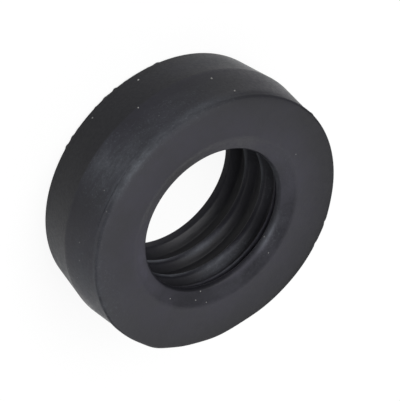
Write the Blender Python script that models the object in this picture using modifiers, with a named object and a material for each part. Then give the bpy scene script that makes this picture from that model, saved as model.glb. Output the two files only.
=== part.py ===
"""A caulking gasket: one thick ring of moulded black rubber that seals a waste pipe inside a wider hub.

Metres, +Z up. The ring's axis is Z and it stands on its flat rear face, at z = 0, with the recessed front
face up. A radius is measured from the axis and a depth down from the front face.
"""

import math

import bpy

# Whole ring
HEIGHT = 0.0347
SEGMENTS = 96

# Outer side: it widens from the front rim to the parting line and narrows again behind it
RIM_RADIUS = 0.0501
RIM_ROUNDING_WIDTH = 0.0009
RIM_ROUNDING_HEIGHT = 0.0008
CREASE_DEPTH = 0.0026
CREASE_RADIUS = 0.0499
PARTING_DEPTH = 0.0175
PARTING_RADIUS = 0.0511
REAR_EDGE_RADIUS = 0.0487
CHAMFER_HEIGHT = 0.0010
CHAMFER_WIDTH = 0.0012

# Front face: the flat land ends where the first rib's cone starts
RECESS_RADIUS = 0.0339
LEAD_IN_SLOPE = math.radians(19)

# Bore: equal ribs, each with a cone in front of it and a square step behind it
RIBS = 4
RIB_SLOPE = math.radians(30)
END_CREST_RADIUS = 0.0275
MIDDLE_CREST_RADIUS = 0.0281
CREST_LENGTH = 0.0020
LAST_CREST_LENGTH = 0.0026
CREST_TAPER = 0.0008
CREST_ROUNDING = 0.0015
GROOVE_RADIUS = 0.0319
GROOVE_ROUNDING = 0.0012
FOOT_ROUNDING = 0.0005
REAR_LIP_ROUNDING = 0.0003

# Thin lip that stands in the first groove
LIP_DEPTH = 0.0070
LIP_RADIUS = 0.0292
LIP_ROOT = 0.0014
LIP_TIP = 0.0004

RUBBER_COLOUR = (0.010, 0.010, 0.012, 1.0)
RUBBER_ROUGHNESS = 0.5


def arc(centre, width, height, start, end, steps):
    """Points on an ellipse from one angle to another; 0 degrees points outward and 90 degrees down."""
    angles = [math.radians(start + (end - start) * step / steps) for step in range(steps + 1)]
    return [(centre[0] + width * math.cos(a), centre[1] + height * math.sin(a)) for a in angles]


def rounded(before, corner, after, rounding, steps):
    """Points of the round arc that eases the corner between two straight lines."""
    heading_before = math.atan2(before[1] - corner[1], before[0] - corner[0])
    heading_after = math.atan2(after[1] - corner[1], after[0] - corner[0])
    opening = (heading_after - heading_before + math.pi) % math.tau - math.pi
    middle = heading_before + opening / 2
    reach = rounding / math.sin(abs(opening) / 2)
    centre = (corner[0] + reach * math.cos(middle), corner[1] + reach * math.sin(middle))
    sweep = math.degrees((math.pi - abs(opening)) * math.copysign(1, opening))
    start = math.degrees(middle) + 180 + sweep / 2
    return arc(centre, rounding, rounding, start, start - sweep, steps)


def outer_side():
    """The outside from the front rim down to the rear face."""
    rim_centre = (RIM_RADIUS - RIM_ROUNDING_WIDTH, RIM_ROUNDING_HEIGHT)
    return arc(rim_centre, RIM_ROUNDING_WIDTH, RIM_ROUNDING_HEIGHT, -90, 0, 4) + [
        (CREASE_RADIUS, CREASE_DEPTH),
        (PARTING_RADIUS, PARTING_DEPTH),
        (REAR_EDGE_RADIUS, HEIGHT - CHAMFER_HEIGHT),
        (REAR_EDGE_RADIUS - CHAMFER_WIDTH, HEIGHT),
    ]


def crest(number):
    """The front corner of one rib, before it is rounded, and the rib's rear edge."""
    radius = END_CREST_RADIUS if number in (0, RIBS - 1) else MIDDLE_CREST_RADIUS
    first_front = (RECESS_RADIUS - END_CREST_RADIUS - CREST_TAPER) * math.tan(LEAD_IN_SLOPE)
    last_front = HEIGHT - LAST_CREST_LENGTH
    front = first_front + (last_front - first_front) * number / (RIBS - 1)
    back = HEIGHT if number == RIBS - 1 else front + CREST_LENGTH
    return (radius + CREST_TAPER, front), (radius, back)


def cone_foot(corner, radius, slope):
    """Where the cone that ends at a rib's front corner starts, at a given radius."""
    return radius, corner[1] - (radius - corner[0]) * math.tan(slope)


def first_rib():
    """The first rib, whose cone starts at the front face."""
    corner, edge = crest(0)
    foot = cone_foot(corner, RECESS_RADIUS, LEAD_IN_SLOPE)
    return [foot] + rounded(foot, corner, edge, CREST_ROUNDING, 3) + [edge]


def thin_lip():
    """The thin lip in the first groove, from its root to its round tip and back."""
    tip = (LIP_RADIUS + LIP_TIP, LIP_DEPTH)
    return (
        [(GROOVE_RADIUS, LIP_DEPTH - LIP_ROOT / 2)]
        + arc(tip, LIP_TIP, LIP_TIP, -90, -270, 4)
        + [(GROOVE_RADIUS, LIP_DEPTH + LIP_ROOT / 2)]
    )


def next_rib(number):
    """The step and the groove in front of one rib, and the rib."""
    step = crest(number - 1)[1]
    corner, edge = crest(number)
    foot = cone_foot(corner, GROOVE_RADIUS, RIB_SLOPE)
    floor = (GROOVE_RADIUS, step[1])
    return (
        rounded(step, floor, foot, GROOVE_ROUNDING, 2)
        + (thin_lip() if number == 1 else [])
        + rounded(floor, foot, corner, FOOT_ROUNDING, 2)
        + rounded(foot, corner, edge, CREST_ROUNDING, 3)
        + [edge]
    )


def bore():
    """The bore from the front face down to the rear face."""
    points = first_rib()
    for number in range(1, RIBS):
        points += next_rib(number)
    rear = (REAR_EDGE_RADIUS, HEIGHT)
    return points[:-1] + rounded(points[-2], points[-1], rear, REAR_LIP_ROUNDING, 3)


def turned(name, section, collection):
    """A ring whose closed section, as (radius, depth) points, is turned once about Z."""
    mesh = bpy.data.meshes.new(name + "_section")
    corners = [(radius, 0.0, HEIGHT - depth) for radius, depth in section]
    sides = [(i, (i + 1) % len(corners)) for i in range(len(corners))]
    mesh.from_pydata(corners, sides, [])
    outline = bpy.data.objects.new(name + "_section", mesh)
    collection.objects.link(outline)
    screw = outline.modifiers.new("Turn", "SCREW")
    screw.axis = "Z"
    screw.angle = math.tau
    screw.steps = SEGMENTS
    screw.render_steps = SEGMENTS
    screw.use_merge_vertices = True
    screw.merge_threshold = 1e-6
    graph = bpy.context.evaluated_depsgraph_get()
    solid = bpy.data.meshes.new_from_object(outline.evaluated_get(graph))
    solid.name = name
    bpy.data.objects.remove(outline)
    bpy.data.meshes.remove(mesh)
    solid.shade_smooth()
    solid.set_sharp_from_angle(angle=math.radians(28))
    ring = bpy.data.objects.new(name, solid)
    collection.objects.link(ring)
    return ring


def rubber():
    material = bpy.data.materials.new("black_rubber")
    material.use_nodes = True
    shader = material.node_tree.nodes["Principled BSDF"]
    shader.inputs["Base Color"].default_value = RUBBER_COLOUR
    shader.inputs["Roughness"].default_value = RUBBER_ROUGHNESS
    shader.inputs["Metallic"].default_value = 0.0
    return material


def main():
    for item in list(bpy.data.objects):
        bpy.data.objects.remove(item)
    collection = bpy.data.collections.new("caulking_gasket")
    bpy.context.scene.collection.children.link(collection)
    section = outer_side() + bore()[::-1]
    ring = turned("gasket_ring", section, collection)
    ring.data.materials.append(rubber())


main()
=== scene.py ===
"""The look of the caulking gasket: a scuffed and dusty ring of black rubber on a white floor.

Metres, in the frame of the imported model. The ring's axis is Z. An azimuth of 0 degrees faces the camera,
and 90 degrees is 90 degrees further round, clockwise seen from above. A depth is measured down from the
front face.
"""

import math

import bmesh
import bpy
import numpy as np
from mathutils import Matrix, Vector, noise


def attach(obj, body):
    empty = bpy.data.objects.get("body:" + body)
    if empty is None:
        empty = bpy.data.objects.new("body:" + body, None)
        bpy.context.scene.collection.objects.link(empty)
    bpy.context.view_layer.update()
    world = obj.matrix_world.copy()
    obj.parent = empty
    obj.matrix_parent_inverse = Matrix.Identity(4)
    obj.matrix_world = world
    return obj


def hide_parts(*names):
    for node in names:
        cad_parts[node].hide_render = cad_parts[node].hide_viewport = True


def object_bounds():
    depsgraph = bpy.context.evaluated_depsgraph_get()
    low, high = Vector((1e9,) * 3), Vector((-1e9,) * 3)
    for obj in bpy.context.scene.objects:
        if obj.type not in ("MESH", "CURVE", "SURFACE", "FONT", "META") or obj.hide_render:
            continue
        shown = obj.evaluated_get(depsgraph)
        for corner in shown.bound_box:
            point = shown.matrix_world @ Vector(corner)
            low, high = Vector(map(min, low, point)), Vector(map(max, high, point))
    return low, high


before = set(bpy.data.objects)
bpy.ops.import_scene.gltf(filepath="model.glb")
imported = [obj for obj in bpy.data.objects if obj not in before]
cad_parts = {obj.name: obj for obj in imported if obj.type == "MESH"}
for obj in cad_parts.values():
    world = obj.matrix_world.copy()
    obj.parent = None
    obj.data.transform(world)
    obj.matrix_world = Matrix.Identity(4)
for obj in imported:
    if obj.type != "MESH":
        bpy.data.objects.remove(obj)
cad_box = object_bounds()

MM = 0.001

# Camera: the ring's axis points down and to the right in the photograph
IMAGE_HEIGHT_PIXELS = 401
FOCAL_PIXELS = 4500.0
SENSOR_MM = 36.0
CAMERA_CLIP = (0.05, 20)
ELEVATION = math.radians(41.65)
ROLL = math.radians(130.75)
CAMERA_DISTANCE = 1.5542
FACE_CENTRE_RIGHT = 5.82 * MM
FACE_CENTRE_DOWN = 7.85 * MM

# Light: the azimuth, angle from the vertical, width and power of each soft lamp
WORLD_COLOUR = (1, 1, 1, 1)
WORLD_STRENGTH = 0.25
LAMP_DISTANCE = 1.0
KEY_LAMP = (math.radians(42), math.radians(31), 0.95, 7.5)
BACK_LAMP = (math.radians(190), math.radians(60), 1.15, 3.6)
SIDE_LAMP = (math.radians(-65), math.radians(65), 0.8, 1.6)

# Floor: its own colour, and the glow and the colour that the camera, a mirror or glass shows there
FLOOR_REACH = 3.0
FLOOR_COLOUR = (0.8, 0.8, 0.8, 1)
SEEN_GLOW = 0.9
SEEN_COLOUR = (0.12, 0.12, 0.12, 1)
MIRRORED_GLOW = 0.25
MIRRORED_COLOUR = (0.75, 0.75, 0.75, 1)

# Section of the ring, as in the model's source, but with worn rib edges and a crease that has a width
HEIGHT = cad_box[1][2]
RIM_RADIUS = 50.1 * MM
RIM_ROUNDING_WIDTH = 0.9 * MM
RIM_ROUNDING_HEIGHT = 0.8 * MM
CREASE_DEPTH = 2.6 * MM
CREASE_RADIUS = 49.9 * MM
CREASE_WIDTH = 0.6 * MM
PARTING_DEPTH = 17.5 * MM
PARTING_RADIUS = cad_box[1][0]
REAR_EDGE_RADIUS = 48.7 * MM
CHAMFER_HEIGHT = 1.0 * MM
CHAMFER_WIDTH = 1.2 * MM
RECESS_RADIUS = 33.9 * MM
RIBS = 4
LEAD_IN_SLOPE = math.radians(19)
RIB_SLOPE = math.radians(30)
END_CREST_RADIUS = 27.5 * MM
MIDDLE_CREST_RADIUS = 28.1 * MM
CREST_LENGTH = 2.0 * MM
LAST_CREST_LENGTH = 2.6 * MM
CREST_TAPER = 0.8 * MM
CREST_ROUNDING = 1.5 * MM
GROOVE_RADIUS = 31.9 * MM
GROOVE_ROUNDING = 1.2 * MM
FOOT_ROUNDING = 0.5 * MM
REAR_LIP_ROUNDING = 0.3 * MM
LIP_DEPTH = 7.0 * MM
LIP_RADIUS = 29.2 * MM
LIP_ROOT = 1.4 * MM
LIP_TIP = 0.4 * MM
EDGE_ROUNDING = 0.45 * MM

# Soft waves of the outer side at its front rim: azimuth and half width in degrees, and height
RIM_WAVES = (
    (185, 75, 0.20 * MM),
    (150, 6, 0.25 * MM),
    (168, 16, 0.45 * MM),
    (205, 10, -0.60 * MM),
    (226, 7, -0.30 * MM),
    (248, 6, 0.55 * MM),
    (277, 5, 0.20 * MM),
)

# Nicks in the rim, given in the same way
RIM_NICKS = ((91, 1.2, 0.35 * MM), (150, 0.9, -0.45 * MM), (160, 0.8, -0.40 * MM))
NICK_DEPTH = 1.5 * MM

# Where the crease behind the rim is cut deeper, and where it is filled, given in the same way
CREASE_CUTS = ((-20, 15, 0.30 * MM),)
CREASE_FILLS = ((38, 24, 0.22 * MM), (-78, 28, 0.20 * MM))
CREASE_FILL_REACH = 2.5 * MM

# Torn flash on the rear edge, given in the same way
FLASH = (
    (-21.0, 1.0, 0.25 * MM),
    (-16.5, 1.3, 0.60 * MM),
    (-12.2, 1.2, 0.50 * MM),
    (-8.0, 1.6, 0.25 * MM),
    (3.5, 0.9, 0.40 * MM),
    (9.0, 1.5, 0.55 * MM),
    (14.5, 1.1, 0.70 * MM),
    (20.0, 1.8, 0.25 * MM),
    (31.5, 1.4, 0.40 * MM),
    (36.0, 1.7, 0.70 * MM),
)

# Random bumps along the flash: their height, and how many coarse and fine ones fit in the ring's radius
BUMP_HEIGHT = 0.30 * MM
COARSE_BUMPS = 22
FINE_BUMPS = 55

# Share of the pale coat on each surface. The face's grows from its rim to the recess, so the face is paler
# towards the recess. The rear belt's low share is partly painted shade, which keeps that belt dark where it
# faces down towards the shadowed floor.
FACE_DUST = (0.09, 0.24)
RECESS_DUST = 0.20
FRONT_BELT_DUST = 0.15
REAR_BELT_DUST_AND_SHADE = 0.02
RIB_DUST = 0.07
GROOVE_DUST = 0.03

# Paler or darker patches: azimuth and half width in degrees, radius, depth and size, change of the pale
# share. Some are dust; others are painted highlights, painted light and painted shade, as marked below.
DUST_AND_PAINTED_LIGHT_PATCHES = (
    # Outer side
    (-28, 12, 50.5 * MM, 11 * MM, 8 * MM, -0.06),
    # Painted shade: the front belt darker round azimuth 45
    (45, 20, 50.5 * MM, 10 * MM, 9 * MM, -0.13),
    (-20, 14, 50.0 * MM, 27 * MM, 6 * MM, -0.06),
    (48, 24, 50.0 * MM, 24 * MM, 8 * MM, 0.08),
    # Rim and face
    # Painted shade on the rim's edge at the far side
    (180, 60, 49.0 * MM, 0.2 * MM, 2.5 * MM, -0.10),
    (105, 25, 45.5 * MM, 0.0 * MM, 4 * MM, -0.07),
    (230, 45, 46.0 * MM, 0.0 * MM, 4 * MM, -0.03),
    (-10, 45, 46.0 * MM, 0.0 * MM, 6 * MM, 0.10),
    # Recess
    (8, 28, 32.0 * MM, 0.6 * MM, 3 * MM, -0.12),
    # Painted shade and painted light: the recess darker at its far side and paler at its sides
    (200, 45, 31.0 * MM, 1.2 * MM, 3 * MM, -0.07),
    (242, 12, 31.0 * MM, 1.2 * MM, 3 * MM, -0.08),
    (-60, 30, 31.0 * MM, 1.2 * MM, 3 * MM, 0.22),
    (95, 28, 31.0 * MM, 1.2 * MM, 3 * MM, 0.14),
    # Bore: painted highlights on the rib corners, the thin lip and the ribs' rear edges, and painted light
    # in the grooves where shade falls
    (178, 24, 28.6 * MM, 2.0 * MM, 1.2 * MM, 0.34),
    (190, 60, 29.4 * MM, 6.9 * MM, 1.2 * MM, 0.30),
    (180, 70, 31.4 * MM, 5.4 * MM, 1.4 * MM, 0.45),
    (199, 20, 31.0 * MM, 10.6 * MM, 1.8 * MM, 0.20),
    (196, 18, 28.9 * MM, 12.3 * MM, 1 * MM, 0.28),
    (196, 18, 28.9 * MM, 22.4 * MM, 1 * MM, 0.28),
    (125, 25, 30.5 * MM, 8.4 * MM, 3 * MM, 0.15),
    (125, 25, 30.5 * MM, 18.5 * MM, 3 * MM, 0.10),
    (235, 22, 28.1 * MM, 14.0 * MM, 0.6 * MM, 0.55),
    (235, 22, 28.1 * MM, 24.0 * MM, 0.6 * MM, 0.75),
)

# Rubbed patches with pale streaks, given in the same way, with the share that they cover. On the front rim
# they are partly painted highlight, and in the bore painted highlight and painted light, as marked below.
RUBBED_AND_PAINTED_HIGHLIGHT_PATCHES = (
    (-11, 11, 50.8 * MM, 12 * MM, 7 * MM, 0.44),
    (-8, 18, 50.2 * MM, 6 * MM, 2.5 * MM, 0.22),
    (18, 22, 50.5 * MM, 9 * MM, 5 * MM, 0.12),
    # Partly wear and partly painted highlight: the pale bead along the front rim
    (-8, 17, 49.9 * MM, 1.5 * MM, 1.9 * MM, 0.62),
    (26, 16, 49.9 * MM, 1.8 * MM, 2.2 * MM, 0.45),
    (-2, 15, 49.6 * MM, 0.2 * MM, 1.1 * MM, 0.34),
    (-50, 22, 49.8 * MM, 1.0 * MM, 1.5 * MM, 0.22),
    (-68, 20, 50.3 * MM, 8 * MM, 8 * MM, 0.42),
    (-74, 18, 50.0 * MM, 25 * MM, 10 * MM, 0.42),
    (60, 18, 50.0 * MM, 26 * MM, 6 * MM, 0.16),
    # Painted highlights on the thin lip, the rib corners and the ribs' rear edges, and painted light in the
    # grooves where shade falls
    (195, 24, 29.2 * MM, 7.0 * MM, 0.8 * MM, 0.35),
    (199, 17, 31.0 * MM, 10.7 * MM, 1.6 * MM, 0.42),
    (199, 14, 28.8 * MM, 12.0 * MM, 1 * MM, 0.75),
    (200, 13, 28.8 * MM, 22.0 * MM, 1 * MM, 0.75),
    (155, 32, 28.2 * MM, 3.0 * MM, 1.3 * MM, 0.20),
    (125, 25, 30.5 * MM, 9.5 * MM, 3 * MM, 0.12),
    (104, 30, 28.2 * MM, 13.9 * MM, 1.0 * MM, 1.00),
    (104, 30, 28.2 * MM, 23.9 * MM, 1.0 * MM, 1.00),
    (238, 24, 28.3 * MM, 14.0 * MM, 0.8 * MM, 0.90),
    (240, 24, 28.3 * MM, 24.0 * MM, 0.8 * MM, 1.00),
    (108, 18, 27.8 * MM, 3.4 * MM, 1.2 * MM, 0.40),
    (110, 35, 30.5 * MM, 16.0 * MM, 12 * MM, 0.10),
    (100, 28, 32.0 * MM, 0.7 * MM, 3 * MM, 0.07),
    (160, 24, 31.0 * MM, 1.0 * MM, 2.2 * MM, 0.09),
    # Painted highlight along the first rib's front corner
    (163, 12, 28.7 * MM, 2.0 * MM, 0.7 * MM, 0.70),
    (205, 25, 31.5 * MM, 0.9 * MM, 2.2 * MM, 0.07),
)

# Rougher or smoother patches, given in the same way; the belt patch stays behind the front face
BELT_START_DEPTH = 0.1 * MM
BELT_MATT_PATCH = (6, 48, 50.5 * MM, 17 * MM, 30 * MM, 0.30)
MATT_PATCHES = (
    (165, 70, 50.0 * MM, 0.4 * MM, 1.5 * MM, 0.20),
    (60, 16, 50.0 * MM, 1.8 * MM, 2.2 * MM, 0.30),
    (60, 13, 50.3 * MM, 9.0 * MM, 5 * MM, 0.08),
    (235, 20, 30.5 * MM, 1.2 * MM, 2 * MM, 0.20),
    (180, 60, 31.0 * MM, 1.0 * MM, 2.2 * MM, -0.05),
    (165, 85, 46.0 * MM, 0.0 * MM, 7 * MM, 0.15),
    (-5, 40, 46.0 * MM, 0.0 * MM, 6 * MM, -0.08),
    (8, 30, 31.0 * MM, 1.2 * MM, 3 * MM, 0.20),
    (-84, 17, 50.0 * MM, 18 * MM, 16 * MM, -0.22),
    (80, 12, 50.0 * MM, 24 * MM, 12 * MM, -0.10),
)

# White specks that lie on the ring: azimuth in degrees, radius, depth and size
SPECKS = (
    (23.5, 49.2 * MM, 30.0 * MM, 0.75 * MM),
    (14.0, 51.0 * MM, 17.5 * MM, 0.60 * MM),
    (45.5, 50.8 * MM, 13.5 * MM, 0.75 * MM),
    (49.5, 50.2 * MM, 4.5 * MM, 0.55 * MM),
    (-0.5, 49.1 * MM, 31.0 * MM, 0.55 * MM),
    (-105, 31.5 * MM, 0.83 * MM, 0.50 * MM),
    (-127, 31.5 * MM, 0.83 * MM, 0.45 * MM),
    (-131, 28.8 * MM, 1.76 * MM, 0.50 * MM),
    (-135, 33.0 * MM, 0.31 * MM, 0.40 * MM),
    (173, 32.0 * MM, 0.65 * MM, 0.40 * MM),
)

# Rubber. The dusty and rubbed colours also carry the painted highlights and painted light of some patches,
# and the bare colour their painted shade.
BARE_RUBBER = (0.0085, 0.0085, 0.0110, 1)
DUST_AND_PAINTED_LIGHT_RUBBER = (0.092, 0.088, 0.118, 1)
RUBBED_AND_HIGHLIGHT_RUBBER = (0.158, 0.171, 0.192, 1)
RUBBED_EVERYWHERE = 0.02
BARE_ROUGHNESS = 0.34
DUSTY_ROUGHNESS = 0.66
FULLY_ROUGH_COAT = 0.45
SPECULAR_LEVEL = 0.25

# Sizes of the patterns in the rubber
MOTTLE_SIZE = 11 * MM
GRAIN_SIZE = 1.1 * MM
STREAK_SIZE = 7 * MM
STREAK_FLATTENING = 2.5
FLECK_SIZE = 0.8 * MM
PIT_SIZE = 0.45 * MM

# Ramps: the two levels that each runs between, and what it gives at each of them
MOTTLE_RAMP = (0.32, 0.68, 0.7, 1.3)
GRAIN_RAMP = (0.25, 0.75, 0.8, 1.2)
GRAIN_ROUGHNESS_RAMP = (0.2, 0.8, -0.06, 0.06)
STREAK_RAMP = (0.36, 0.66, 0.36, 0.80)
FLECK_RAMP = (0.54, 0.70, 0.0, 0.13)
FLECKED_RAMP = (0.03, 0.10, 0.0, 1.0)

# Fine relief of the rubber, with the shares that its pits and its grain have in it
RELIEF_HEIGHT = 0.06 * MM
PIT_RELIEF = 0.5
GRAIN_RELIEF = 0.6

# Specks of dust in the rubber's material: some cells of a pattern hold one, and more do where the rubbed
# share is high, which the painted highlights raise too
PAINTED_SPECK_STRENGTH = 0.4
PAINTED_SPECK_SPREAD = 2.4 * MM
PAINTED_SPECK_RADIUS = 0.30 * MM
PAINTED_SPECK_CORE = 0.6
EMPTY_CELLS_RAMP = (0.03, 0.16, 1.0, 0.72)
SPECKED_DUST_RAMP = (0.05, 0.2, 0.0, 1.0)

# White dust of all specks
SPECK_COLOUR = (0.45, 0.45, 0.43, 1)
SPECK_SHADE = (0.14, 0.14, 0.14, 1)
SPECK_GRAIN_SIZE = GRAIN_SIZE / 4
SPECK_GRAIN_RAMP = (0.3, 0.7, 0.0, 1.0)
SPECK_ROUGHNESS = (0.7, 0.95)

# Detail of the mesh
SEGMENTS = 500
SPACING = 0.85 * MM
REAR_SPACING = 2.5 * MM
RIM_STEPS = 8
CREST_STEPS = 6
LIP_STEPS = 6
REAR_LIP_STEPS = 5
CORNER_STEPS = 4
SHARP_ANGLE = math.radians(32)
TOLERANCE = 0.01 * MM


def arc(centre, width, height, start, end, steps):
    """Points on an ellipse from one angle to another; 0 degrees points outward and 90 degrees down."""
    angles = [math.radians(start + (end - start) * step / steps) for step in range(steps + 1)]
    return [(centre[0] + width * math.cos(a), centre[1] + height * math.sin(a)) for a in angles]


def rounded(before, corner, after, rounding, steps):
    """Points of the round arc that eases the corner between two straight lines."""
    heading_before = math.atan2(before[1] - corner[1], before[0] - corner[0])
    heading_after = math.atan2(after[1] - corner[1], after[0] - corner[0])
    opening = (heading_after - heading_before + math.pi) % math.tau - math.pi
    middle = heading_before + opening / 2
    reach = rounding / math.sin(abs(opening) / 2)
    centre = (corner[0] + reach * math.cos(middle), corner[1] + reach * math.sin(middle))
    sweep = math.degrees((math.pi - abs(opening)) * math.copysign(1, opening))
    start = math.degrees(middle) + 180 + sweep / 2
    return arc(centre, rounding, rounding, start, start - sweep, steps)


def outer_side():
    """The outside from the front rim down to the rear face."""
    rim_centre = (RIM_RADIUS - RIM_ROUNDING_WIDTH, RIM_ROUNDING_HEIGHT)
    return arc(rim_centre, RIM_ROUNDING_WIDTH, RIM_ROUNDING_HEIGHT, -90, 0, RIM_STEPS) + [
        (CREASE_RADIUS, CREASE_DEPTH - CREASE_WIDTH / 2),
        (CREASE_RADIUS, CREASE_DEPTH),
        (CREASE_RADIUS, CREASE_DEPTH + CREASE_WIDTH / 2),
        (PARTING_RADIUS, PARTING_DEPTH),
        (REAR_EDGE_RADIUS, HEIGHT - CHAMFER_HEIGHT),
        (REAR_EDGE_RADIUS - CHAMFER_WIDTH, HEIGHT),
    ]


def crest(number):
    """The front corner of one rib, before it is rounded, and the rib's rear edge."""
    radius = END_CREST_RADIUS if number in (0, RIBS - 1) else MIDDLE_CREST_RADIUS
    first_front = (RECESS_RADIUS - END_CREST_RADIUS - CREST_TAPER) * math.tan(LEAD_IN_SLOPE)
    last_front = HEIGHT - LAST_CREST_LENGTH
    front = first_front + (last_front - first_front) * number / (RIBS - 1)
    back = HEIGHT if number == RIBS - 1 else front + CREST_LENGTH
    return (radius + CREST_TAPER, front), (radius, back)


def cone_foot(corner, radius, slope):
    """Where the cone that ends at a rib's front corner starts, at a given radius."""
    return radius, corner[1] - (radius - corner[0]) * math.tan(slope)


def rear_edge(corner, edge):
    """The worn edge between a rib's crest and the step behind it."""
    return rounded(corner, edge, (GROOVE_RADIUS, edge[1]), EDGE_ROUNDING, CORNER_STEPS)


def first_rib():
    """The first rib, whose cone starts at the front face."""
    corner, edge = crest(0)
    foot = cone_foot(corner, RECESS_RADIUS, LEAD_IN_SLOPE)
    rounding = rounded(foot, corner, edge, CREST_ROUNDING, CREST_STEPS)
    return [foot] + rounding + rear_edge(corner, edge)


def thin_lip():
    """The thin lip in the first groove, from its root to its round tip and back."""
    tip = (LIP_RADIUS + LIP_TIP, LIP_DEPTH)
    return (
        [(GROOVE_RADIUS, LIP_DEPTH - LIP_ROOT / 2)]
        + arc(tip, LIP_TIP, LIP_TIP, -90, -270, LIP_STEPS)
        + [(GROOVE_RADIUS, LIP_DEPTH + LIP_ROOT / 2)]
    )


def next_rib(number):
    """The step and the groove in front of one rib, and the rib."""
    step = crest(number - 1)[1]
    corner, edge = crest(number)
    foot = cone_foot(corner, GROOVE_RADIUS, RIB_SLOPE)
    floor = (GROOVE_RADIUS, step[1])
    return (
        rounded(step, floor, foot, GROOVE_ROUNDING, CORNER_STEPS)
        + (thin_lip() if number == 1 else [])
        + rounded(floor, foot, corner, FOOT_ROUNDING, CORNER_STEPS)
        + rounded(foot, corner, edge, CREST_ROUNDING, CREST_STEPS)
        + ([edge] if number == RIBS - 1 else rear_edge(corner, edge))
    )


def bore():
    """The bore from the front face down to the rear face."""
    points = first_rib()
    for number in range(1, RIBS):
        points += next_rib(number)
    rear = (REAR_EDGE_RADIUS, HEIGHT)
    lip = rounded(points[-2], points[-1], rear, REAR_LIP_ROUNDING, REAR_LIP_STEPS)
    return points[:-1] + lip


def spaced(section):
    """The closed section with points added along its straight runs, fewer on the hidden rear face."""
    points = []
    for here, there in zip(section, section[1:] + section[:1]):
        length = math.dist(here, there)
        on_rear = min(here[1], there[1]) > HEIGHT - TOLERANCE
        count = max(1, round(length / (REAR_SPACING if on_rear else SPACING)))
        for step in range(count):
            share = step / count
            points.append((here[0] + (there[0] - here[0]) * share, here[1] + (there[1] - here[1]) * share))
    return points


def degrees_away(azimuth, middle):
    """How far each azimuth, in radians, lies from a middle in degrees, in degrees from -180 to 180."""
    return (np.degrees(azimuth) - middle + 180) % 360 - 180


def swell(azimuth, waves):
    """The sum of bell-shaped waves at each azimuth."""
    total = np.zeros_like(azimuth)
    for middle, half_width, height in waves:
        total += height * np.exp(-((degrees_away(azimuth, middle) / half_width) ** 2))
    return total


def ragged(azimuth):
    """Fine random bumps, with none in about half of the places, the same on each run."""
    bumps = []
    for turn in azimuth:
        spot = Vector((math.cos(turn), math.sin(turn), 0))
        fine = noise.noise(spot * FINE_BUMPS)
        bumps.append(max(0, noise.noise(spot * COARSE_BUMPS) + fine / 2))
    return np.array(bumps)


def worn_radius(azimuth, radius, depth):
    """The radius at each azimuth and point of the section, with the wear of the outer side's edges."""
    waved = np.clip((radius - RECESS_RADIUS) / (RIM_RADIUS - RECESS_RADIUS), 0, 1) ** 2
    waved *= np.clip(1 - depth / PARTING_DEPTH, 0, 1)
    outside = radius > REAR_EDGE_RADIUS - CHAMFER_WIDTH - TOLERANCE
    nicked = outside * np.clip(1 - depth / NICK_DEPTH, 0, 1)
    from_crease = np.abs(depth - CREASE_DEPTH)
    cut = outside * (from_crease < TOLERANCE)
    filled = outside * np.clip(1 - from_crease / CREASE_FILL_REACH, 0, 1)
    torn = outside * np.clip((depth - HEIGHT + CHAMFER_HEIGHT) / CHAMFER_HEIGHT, 0, 1)
    flash = swell(azimuth, FLASH) + BUMP_HEIGHT * ragged(azimuth)
    return (
        radius
        + swell(azimuth, RIM_WAVES)[:, None] * waved
        + swell(azimuth, RIM_NICKS)[:, None] * nicked
        - swell(azimuth, CREASE_CUTS)[:, None] * cut
        + swell(azimuth, CREASE_FILLS)[:, None] * filled
        + flash[:, None] * torn
    )


def patches(azimuth, radius, depth, patch_list):
    """The sum of soft-edged patches at each azimuth and point of the section."""
    total = np.zeros((SEGMENTS, len(radius)))
    for middle, half_width, at_radius, at_depth, size, change in patch_list:
        aside = ((radius - at_radius) ** 2 + (depth - at_depth) ** 2) / size**2
        away = degrees_away(azimuth, middle)[:, None] / half_width
        total += change * np.exp(-(away**2) - aside)
    return total


def dust_and_painted_light_share(azimuth, radius, depth):
    """How pale each point is, from 0 for bare rubber to 1 for a full coat: a dusty coat, with painted
    highlights, painted light and painted shade in some patches.
    """
    bore_radii = [END_CREST_RADIUS + CREST_ROUNDING, GROOVE_RADIUS]
    in_bore = np.interp(radius, bore_radii, [RIB_DUST, GROOVE_DUST])
    on_face = np.interp(-radius, [-RIM_RADIUS, -RECESS_RADIUS], FACE_DUST)
    outside = radius > REAR_EDGE_RADIUS - CHAMFER_WIDTH
    recess_end = crest(0)[0][1]
    share = np.select(
        [
            outside & (depth > PARTING_DEPTH),
            outside & (depth > RIM_ROUNDING_HEIGHT),
            radius > RECESS_RADIUS,
            depth < recess_end,
        ],
        [REAR_BELT_DUST_AND_SHADE, FRONT_BELT_DUST, on_face, RECESS_DUST],
        in_bore,
    )
    return np.clip(share + patches(azimuth, radius, depth, DUST_AND_PAINTED_LIGHT_PATCHES), 0, 1)


def rubbed_and_painted_highlight_share(azimuth, radius, depth):
    """How much pale streaks cover each point; outside the bore a patch stops at the parting line."""
    in_bore = radius < RECESS_RADIUS
    in_front = depth <= PARTING_DEPTH
    # A patch's fourth number is its depth
    front = [patch for patch in RUBBED_AND_PAINTED_HIGHLIGHT_PATCHES if patch[3] <= PARTING_DEPTH]
    rear = [patch for patch in RUBBED_AND_PAINTED_HIGHLIGHT_PATCHES if patch[3] > PARTING_DEPTH]
    share = patches(azimuth, radius, depth, front) * (in_bore | in_front)
    share += patches(azimuth, radius, depth, rear) * (in_bore | ~in_front)
    return np.clip(share + RUBBED_EVERYWHERE * ~in_bore, 0, 1)


def matt_change(azimuth, radius, depth):
    """How much rougher each point is than its dust makes it; a number below 0 makes it smoother."""
    on_belt = (radius > RECESS_RADIUS) & (depth > BELT_START_DEPTH)
    belt = patches(azimuth, radius, depth, [BELT_MATT_PATCH]) * on_belt
    return patches(azimuth, radius, depth, MATT_PATCHES) + belt


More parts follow.
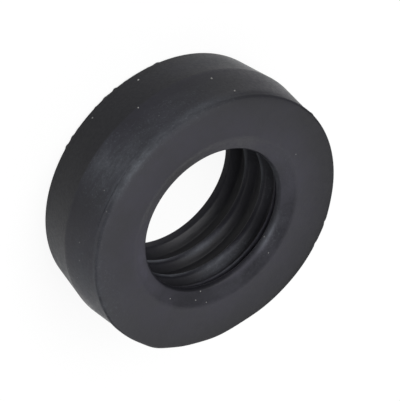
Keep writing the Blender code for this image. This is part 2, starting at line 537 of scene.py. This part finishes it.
def ring_mesh(name):
    """The worn ring, turned from its section, with its looks as attributes of its points."""
    section = spaced(outer_side() + bore()[::-1])
    radius, depth = (np.array(column) for column in zip(*section))
    azimuth = np.arange(SEGMENTS) * math.tau / SEGMENTS
    # The dust and rubbed shares also carry painted highlights, painted light and painted shade
    looks = {
        "dust_and_painted_light": dust_and_painted_light_share(azimuth, radius, depth),
        "rubbed_and_painted_highlight": rubbed_and_painted_highlight_share(azimuth, radius, depth),
        "matt": matt_change(azimuth, radius, depth),
    }
    worn = worn_radius(azimuth, radius, depth)
    x = -worn * np.sin(azimuth)[:, None]
    y = -worn * np.cos(azimuth)[:, None]
    z = np.tile(HEIGHT - depth, (SEGMENTS, 1))
    points = np.stack([x, y, z], axis=-1).reshape(-1, 3)
    count = len(section)
    faces = []
    for turn in range(SEGMENTS):
        here, there = turn * count, (turn + 1) % SEGMENTS * count
        for i in range(count):
            j = (i + 1) % count
            faces.append((here + i, there + i, there + j, here + j))
    mesh = bpy.data.meshes.new(name)
    mesh.from_pydata(points.tolist(), [], faces)
    mesh.update()
    for look, share in looks.items():
        mesh.attributes.new(look, "FLOAT", "POINT").data.foreach_set("value", share.ravel())
    mesh.shade_smooth()
    mesh.set_sharp_from_angle(angle=SHARP_ANGLE)
    return mesh


def add_object(name, data):
    """A new object with this data, linked to the scene."""
    item = bpy.data.objects.new(name, data)
    bpy.context.scene.collection.objects.link(item)
    return item


class Graph:
    """Short calls for the nodes of one material."""

    def __init__(self, name):
        self.material = bpy.data.materials.new(name)
        self.material.use_nodes = True
        self.nodes = self.material.node_tree.nodes
        self.links = self.material.node_tree.links
        self.shader = self.nodes["Principled BSDF"]
        self.place = self.nodes.new("ShaderNodeTexCoord").outputs["Object"]

    def attribute(self, name):
        """A look that the mesh carries on its points."""
        node = self.nodes.new("ShaderNodeAttribute")
        node.attribute_name = name
        return node.outputs["Fac"]

    def put(self, value, socket):
        """A link if the value is another node's output, otherwise the value itself."""
        if isinstance(value, bpy.types.NodeSocket):
            self.links.new(value, socket)
        else:
            socket.default_value = value

    def math(self, operation, first, second=0.0, clamp=False):
        node = self.nodes.new("ShaderNodeMath")
        node.operation = operation
        node.use_clamp = clamp
        self.put(first, node.inputs[0])
        self.put(second, node.inputs[1])
        return node.outputs[0]

    def ramp(self, value, low, high, to_low=0.0, to_high=1.0):
        """A soft step from one number to another as the value goes from low to high."""
        node = self.nodes.new("ShaderNodeMapRange")
        node.interpolation_type = "SMOOTHSTEP"
        names = ("Value", "From Min", "From Max", "To Min", "To Max")
        for name, number in zip(names, (value, low, high, to_low, to_high)):
            self.put(number, node.inputs[name])
        return node.outputs["Result"]

    def noise(self, size, detail=3.0, roughness=0.5, place=None):
        """Noise whose patches are about as wide as the size."""
        node = self.nodes.new("ShaderNodeTexNoise")
        self.put(place or self.place, node.inputs["Vector"])
        node.inputs["Scale"].default_value = 1 / size
        node.inputs["Detail"].default_value = detail
        node.inputs["Roughness"].default_value = roughness
        return node.outputs["Fac"]

    def squeezed(self, factor):
        """The place with its height stretched, so that a pattern on it is flat and long round the axis."""
        node = self.nodes.new("ShaderNodeMapping")
        self.put(self.place, node.inputs["Vector"])
        node.inputs["Scale"].default_value = (1, 1, factor)
        return node.outputs["Vector"]

    def mix(self, share, first, second):
        """A mix of two colours; the node's colour sockets are its inputs 6 and 7 and its output 2."""
        node = self.nodes.new("ShaderNodeMix")
        node.data_type = "RGBA"
        self.put(share, node.inputs[0])
        self.put(first, node.inputs[6])
        self.put(second, node.inputs[7])
        return node.outputs[2]


def dust_and_painted_light_coat(graph, dust_and_painted_light, grain):
    """The pale coat of the dusty and painted-light share, broken up by soft mottles and by the rubber's
    grain.
    """
    mottle = graph.noise(MOTTLE_SIZE, detail=5, roughness=0.6)
    coat = graph.math("MULTIPLY", dust_and_painted_light, graph.ramp(mottle, *MOTTLE_RAMP))
    return graph.math("MULTIPLY", coat, graph.ramp(grain, *GRAIN_RAMP))


def pale_streaks(graph, worn):
    """The pale streaks and flecks: wear, with painted highlights on the front rim and in the bore."""
    streaks = graph.noise(STREAK_SIZE, detail=7, roughness=0.75, place=graph.squeezed(STREAK_FLATTENING))
    streaks = graph.math("MULTIPLY", graph.ramp(streaks, *STREAK_RAMP), worn)
    flecks = graph.ramp(graph.noise(FLECK_SIZE, detail=2, roughness=0.6), *FLECK_RAMP)
    flecks = graph.math("MULTIPLY", flecks, graph.ramp(worn, *FLECKED_RAMP))
    return graph.math("ADD", streaks, flecks, clamp=True)


def painted_specks(graph, dust_and_painted_light, worn):
    """Small round specks in a few cells of a cell pattern, only where the dusty share lies, which some
    painted-light patches raise too.
    """
    cells = graph.nodes.new("ShaderNodeTexVoronoi")
    graph.put(graph.place, cells.inputs["Vector"])
    cells.inputs["Scale"].default_value = 1 / PAINTED_SPECK_SPREAD
    reach = PAINTED_SPECK_RADIUS / PAINTED_SPECK_SPREAD
    near = graph.ramp(cells.outputs["Distance"], PAINTED_SPECK_CORE * reach, reach, 1.0, 0.0)
    chosen = graph.nodes.new("ShaderNodeSeparateColor")
    graph.put(cells.outputs["Color"], chosen.inputs[0])
    held = graph.math("GREATER_THAN", chosen.outputs[0], graph.ramp(worn, *EMPTY_CELLS_RAMP))
    specks = graph.math("MULTIPLY", near, held)
    return graph.math("MULTIPLY", specks, graph.ramp(dust_and_painted_light, *SPECKED_DUST_RAMP))


def fine_relief(graph, grain):
    """The normal that the rubber's fine pits and grain give it."""
    pits = graph.math("MULTIPLY", graph.noise(PIT_SIZE, detail=2), PIT_RELIEF)
    relief = graph.math("ADD", pits, graph.math("MULTIPLY", grain, GRAIN_RELIEF))
    bump = graph.nodes.new("ShaderNodeBump")
    bump.inputs["Distance"].default_value = RELIEF_HEIGHT
    graph.put(relief, bump.inputs["Height"])
    return bump.outputs["Normal"]


def rubber_material():
    graph = Graph("scuffed_black_rubber")
    # The first attribute is dust, with painted highlights, painted light and painted shade in some patches;
    # the second is wear, with painted highlights on the front rim and in the bore
    dust_and_painted_light = graph.attribute("dust_and_painted_light")
    worn = graph.attribute("rubbed_and_painted_highlight")
    grain = graph.noise(GRAIN_SIZE, detail=3, roughness=0.6)
    coat = dust_and_painted_light_coat(graph, dust_and_painted_light, grain)
    rubbed_and_painted_highlight = pale_streaks(graph, worn)
    specks = graph.math("MULTIPLY", painted_specks(graph, dust_and_painted_light, worn), PAINTED_SPECK_STRENGTH)

    colour = graph.mix(graph.math("MINIMUM", coat, 1.0), BARE_RUBBER, DUST_AND_PAINTED_LIGHT_RUBBER)
    colour = graph.mix(rubbed_and_painted_highlight, colour, RUBBED_AND_HIGHLIGHT_RUBBER)
    graph.put(graph.mix(specks, colour, SPECK_COLOUR), graph.shader.inputs["Base Color"])

    covered = graph.math("ADD", coat, rubbed_and_painted_highlight)
    rough = graph.ramp(covered, 0.0, FULLY_ROUGH_COAT, BARE_ROUGHNESS, DUSTY_ROUGHNESS)
    rough = graph.math("ADD", rough, graph.ramp(grain, *GRAIN_ROUGHNESS_RAMP))
    rough = graph.math("ADD", rough, graph.attribute("matt"))
    graph.put(rough, graph.shader.inputs["Roughness"])
    graph.shader.inputs["Specular IOR Level"].default_value = SPECULAR_LEVEL
    graph.put(fine_relief(graph, grain), graph.shader.inputs["Normal"])
    return graph.material


def floor_material():
    """White where the camera, a mirror or glass shows it, with a share left to carry the ring's shadow."""
    material = bpy.data.materials.new("white_floor")
    material.use_nodes = True
    nodes, links = material.node_tree.nodes, material.node_tree.links
    nodes.clear()
    path = nodes.new("ShaderNodeLightPath")

    def matt(colour, glow=0.0):
        diffuse = nodes.new("ShaderNodeBsdfDiffuse")
        diffuse.inputs["Color"].default_value = colour
        light = nodes.new("ShaderNodeEmission")
        light.inputs["Strength"].default_value = glow
        both = nodes.new("ShaderNodeAddShader")
        links.new(diffuse.outputs[0], both.inputs[0])
        links.new(light.outputs[0], both.inputs[1])
        return both.outputs[0]

    surface = matt(FLOOR_COLOUR)
    for ray, shown in (
        ("Is Glossy Ray", matt(MIRRORED_COLOUR, MIRRORED_GLOW)),
        ("Is Transmission Ray", matt(MIRRORED_COLOUR, MIRRORED_GLOW)),
        ("Is Camera Ray", matt(SEEN_COLOUR, SEEN_GLOW)),
    ):
        mix = nodes.new("ShaderNodeMixShader")
        links.new(path.outputs[ray], mix.inputs["Fac"])
        links.new(surface, mix.inputs[1])
        links.new(shown, mix.inputs[2])
        surface = mix.outputs[0]
    links.new(surface, nodes.new("ShaderNodeOutputMaterial").inputs["Surface"])
    return material


def add_ring():
    ring = add_object("rubber_ring", ring_mesh("rubber_ring"))
    ring.data.materials.append(rubber_material())
    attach(ring, "root")
    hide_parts("gasket_ring")


def add_specks():
    shape = bmesh.new()
    for azimuth, radius, depth, size in SPECKS:
        turn = math.radians(azimuth)
        place = Vector((-radius * math.sin(turn), -radius * math.cos(turn), HEIGHT - depth))
        bmesh.ops.create_icosphere(shape, subdivisions=2, radius=size / 2, matrix=Matrix.Translation(place))
    mesh = bpy.data.meshes.new("dust_specks")
    shape.to_mesh(mesh)
    shape.free()
    graph = Graph("white_dust")
    pale = graph.ramp(graph.noise(SPECK_GRAIN_SIZE), *SPECK_GRAIN_RAMP)
    graph.put(graph.mix(pale, SPECK_SHADE, SPECK_COLOUR), graph.shader.inputs["Base Color"])
    graph.put(graph.ramp(pale, 0, 1, *SPECK_ROUGHNESS), graph.shader.inputs["Roughness"])
    mesh.materials.append(graph.material)
    specks = add_object("dust_specks", mesh)
    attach(specks, "root")


def add_floor():
    mesh = bpy.data.meshes.new("floor")
    corners = [(x * FLOOR_REACH, y * FLOOR_REACH, 0) for x, y in ((-1, -1), (1, -1), (1, 1), (-1, 1))]
    mesh.from_pydata(corners, [], [(0, 1, 2, 3)])
    mesh.materials.append(floor_material())
    floor = add_object("floor", mesh)


def add_camera():
    data = bpy.data.cameras.new("camera")
    data.sensor_fit = "AUTO"
    data.sensor_width = SENSOR_MM
    data.lens = FOCAL_PIXELS / IMAGE_HEIGHT_PIXELS * SENSOR_MM
    data.clip_start, data.clip_end = CAMERA_CLIP
    camera = add_object("camera", data)
    turn = Matrix.Rotation(math.pi / 2 - ELEVATION, 4, "X") @ Matrix.Rotation(ROLL, 4, "Z")
    face_centre = Vector((FACE_CENTRE_RIGHT, -FACE_CENTRE_DOWN, -CAMERA_DISTANCE))
    place = Vector((0, 0, HEIGHT)) - turn @ face_centre
    camera.matrix_world = Matrix.Translation(place) @ turn
    bpy.context.scene.camera = camera


def add_lamp(name, azimuth, from_vertical, width, power):
    data = bpy.data.lights.new(name, "AREA")
    data.shape = "DISK"
    data.size = width
    data.energy = power
    lamp = add_object(name, data)
    towards = Vector((
        -math.sin(from_vertical) * math.sin(azimuth),
        -math.sin(from_vertical) * math.cos(azimuth),
        math.cos(from_vertical),
    ))
    lamp.location = towards * LAMP_DISTANCE
    lamp.visible_camera = False
    lamp.rotation_euler = towards.to_track_quat("Z", "Y").to_euler()


def add_lights():
    world = bpy.data.worlds.new("white_room")
    world.use_nodes = True
    background = world.node_tree.nodes["Background"]
    background.inputs["Color"].default_value = WORLD_COLOUR
    background.inputs["Strength"].default_value = WORLD_STRENGTH
    bpy.context.scene.world = world
    add_lamp("key_lamp", *KEY_LAMP)
    add_lamp("back_lamp", *BACK_LAMP)
    add_lamp("side_lamp", *SIDE_LAMP)


def main():
    add_ring()
    add_specks()
    add_floor()
    add_camera()
    add_lights()
    bpy.context.scene.view_settings.view_transform = "Standard"


main()
